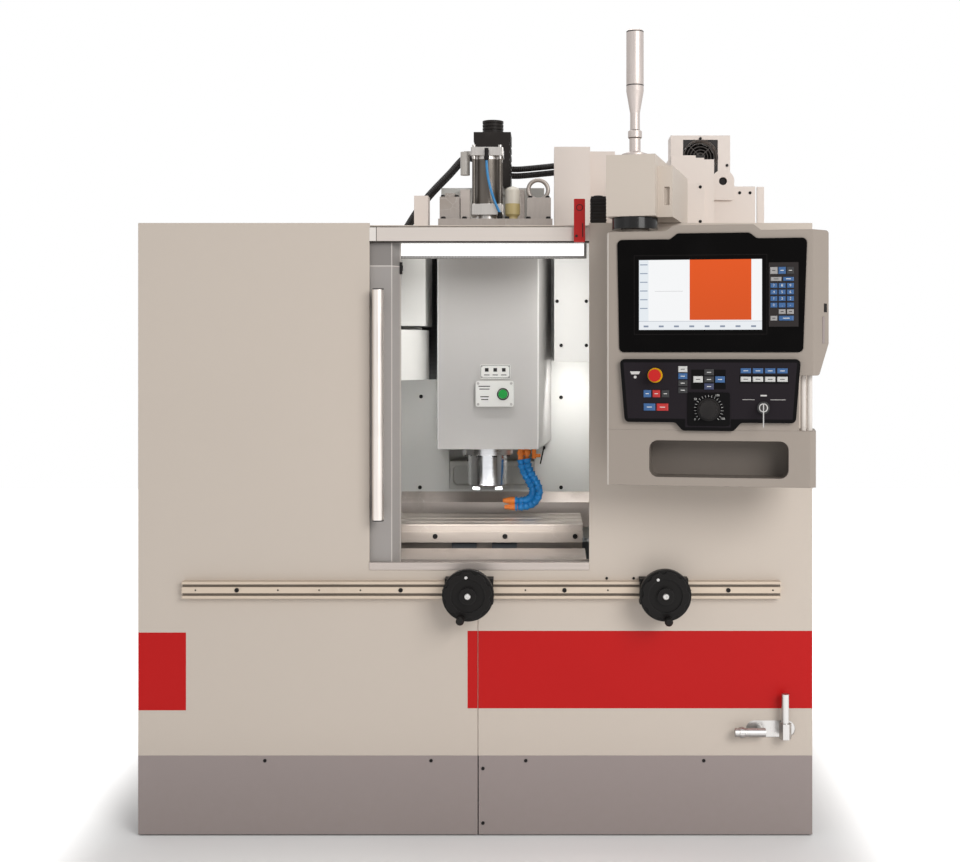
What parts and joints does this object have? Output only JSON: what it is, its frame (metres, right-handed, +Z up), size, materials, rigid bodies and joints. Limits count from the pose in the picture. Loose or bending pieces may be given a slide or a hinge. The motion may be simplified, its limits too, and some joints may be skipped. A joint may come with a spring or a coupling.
{
  "type": "cnc machining center",
  "caption": "Small vertical machining center with a sliding door, open work area, moving table and head, swivelling console and handwheels on a front rail.",
  "frame": {"origin": "centre of the footprint, on the floor", "axes": "+Z up, -Y towards the operator, +X to the operator's right"},
  "size_m": [2, 2.1272, 2.36],
  "materials": {
    "beige_paint": "satin",
    "warm_grey_paint": "satin",
    "cool_grey_paint": "satin",
    "white_paint": "gloss",
    "casting": "matte",
    "steel": "brushed",
    "chrome": "polished",
    "aluminium": "satin",
    "black_plastic": "matte",
    "black_gloss": "gloss",
    "glass": "clear",
    "screen": "gloss",
    "red_paint": "gloss",
    "red_plastic": "gloss",
    "blue_plastic": "gloss",
    "orange_plastic": "gloss",
    "green_plastic": "gloss",
    "rubber": "matte"
  },
  "bodies": {
    "frame": {"base_casting": "casting", "levelling_feet": "steel", "guide_rails": "steel", "axis_motors": "black_plastic", "column": "white_paint", "chip_pan": "steel", "left_panel": "beige_paint", "right_panel": "beige_paint", "skirts": "warm_grey_paint", "enclosure_walls": "beige_paint", "roof_panel": "beige_paint", "door_tracks": "cool_grey_paint", "work_light": "white_paint", "back_guard": "white_paint", "tool_rail": "aluminium", "fasteners": "steel", "carousel_guard": "white_paint", "electrical_cabinet": "beige_paint", "pendant_arm": "beige_paint", "swivel_puck": "black_gloss", "beacon": "aluminium", "roof_boxes": "beige_paint", "interlock_switch": "red_paint", "air_fittings": "chrome", "motor_cables": "rubber"},
    "cabinet_door": {"cabinet_door": "beige_paint"},
    "carousel": {"tool_carousel": "aluminium"},
    "fan": {"fan_rotor": "black_plastic"},
    "door": {"door_frame": "cool_grey_paint", "door_window": "glass", "door_handle": "aluminium"},
    "saddle": {"saddle": "casting"},
    "table": {"table": "steel"},
    "x_screw": {"x_screw": "steel"},
    "y_screw": {"y_screw": "steel"},
    "z_screw": {"z_screw": "steel"},
    "head": {"head_casting": "white_paint", "head_cover": "cool_grey_paint", "head_top_plate": "steel", "control_plate": "white_paint", "spindle_housing": "steel", "drawbar_cylinder": "aluminium", "air_tube": "blue_plastic", "coolant_hose": "blue_plastic", "coolant_nozzle": "orange_plastic"},
    "release_button": {"release_button": "green_plastic"},
    "spindle": {"spindle": "chrome"},
    "left_carriage": {"left_carriage": "black_plastic"},
    "left_handwheel": {"left_handwheel": "black_plastic"},
    "right_carriage": {"right_carriage": "black_plastic"},
    "right_handwheel": {"right_handwheel": "black_plastic"},
    "console": {"console_housing": "beige_paint", "console_bezel": "black_gloss", "screen": "screen", "console_keys": "black_plastic", "lower_panel": "black_plastic", "console_tray": "beige_paint"},
    "estop": {"estop_button": "red_plastic"},
    "override_knob": {"override_knob": "black_plastic"},
    "key_switch": {"key_switch": "chrome"}
  },
  "joints": [
    {"name": "door_slide", "type": "slide", "parent": "frame", "child": "door", "axis": [1, 0, 0], "range_m": [0, 0.58]},
    {"name": "head_slide", "type": "slide", "parent": "frame", "child": "head", "axis": [0, 0, 1], "range_m": [0, 0.42]},
    {"name": "spindle_turn", "type": "hinge", "parent": "head", "child": "spindle", "pos_m": [0.01, -0.1624, 0.982], "axis": [0, 0, 1], "continuous": true},
    {"name": "saddle_slide", "type": "slide", "parent": "frame", "child": "saddle", "axis": [0, 1, 0], "range_m": [-0.085, 0.25]},
    {"name": "table_slide", "type": "slide", "parent": "saddle", "child": "table", "axis": [1, 0, 0], "range_m": [-0.2, 0.2]},
    {"name": "x_screw_turn", "type": "hinge", "parent": "saddle", "child": "x_screw", "pos_m": [0.01, -0.2724, 0.79], "axis": [1, 0, 0], "continuous": true},
    {"name": "y_screw_turn", "type": "hinge", "parent": "frame", "child": "y_screw", "pos_m": [0.01, -0.1224, 0.64], "axis": [0, 1, 0], "continuous": true},
    {"name": "z_screw_turn", "type": "hinge", "parent": "frame", "child": "z_screw", "pos_m": [0.01, 0.2076, 1.5], "axis": [0, 0, 1], "continuous": true},
    {"name": "carousel_turn", "type": "hinge", "parent": "frame", "child": "carousel", "pos_m": [-0.466, -0.1974, 1.42], "axis": [0, 0, 1], "continuous": true},
    {"name": "fan_turn", "type": "hinge", "parent": "frame", "child": "fan", "pos_m": [0.748, 0.0276, 2.116], "axis": [0, 1, 0], "continuous": true},
    {"name": "left_carriage_slide", "type": "slide", "parent": "frame", "child": "left_carriage", "axis": [1, 0, 0], "range_m": [-0.7, 0.4]},
    {"name": "left_wheel_turn", "type": "hinge", "parent": "left_carriage", "child": "left_handwheel", "pos_m": [-0.016, -0.8124, 0.73], "axis": [0, 1, 0], "continuous": true},
    {"name": "right_carriage_slide", "type": "slide", "parent": "frame", "child": "right_carriage", "axis": [1, 0, 0], "range_m": [-0.4, 0.26]},
    {"name": "right_wheel_turn", "type": "hinge", "parent": "right_carriage", "child": "right_handwheel", "pos_m": [0.556, -0.8124, 0.73], "axis": [0, 1, 0], "continuous": true},
    {"name": "console_swivel", "type": "hinge", "parent": "frame", "child": "console", "pos_m": [0.466, -0.8444, 1.8], "axis": [0, 0, 1], "range_deg": [-50, 9]},
    {"name": "estop_push", "type": "slide", "parent": "console", "child": "estop", "axis": [0.1564, 0.9877, 0], "range_m": [0, 0.004], "stiffness_N_per_m": 1500},
    {"name": "override_turn", "type": "hinge", "parent": "console", "child": "override_knob", "pos_m": [0.65864, -1.00248, 1.277], "axis": [0.1564, 0.9877, 0], "range_deg": [-135, 135]},
    {"name": "key_turn", "type": "hinge", "parent": "console", "child": "key_switch", "pos_m": [0.80581, -1.02579, 1.283], "axis": [0.1564, 0.9877, 0], "range_deg": [0, 90]},
    {"name": "release_push", "type": "slide", "parent": "head", "child": "release_button", "axis": [0, 1, 0], "range_m": [0, 0.005], "stiffness_N_per_m": 800},
    {"name": "cabinet_door_hinge", "type": "hinge", "parent": "frame", "child": "cabinet_door", "pos_m": [0.041, 1.0456, 1.04], "axis": [0, 0, 1], "range_deg": [0, 110]}
  ],
  "couplings": [
    {"joint": "x_screw_turn", "follows": "table_slide", "rad_per_m": 628.32},
    {"joint": "y_screw_turn", "follows": "saddle_slide", "rad_per_m": 628.32},
    {"joint": "z_screw_turn", "follows": "head_slide", "rad_per_m": 628.32}
  ]
}
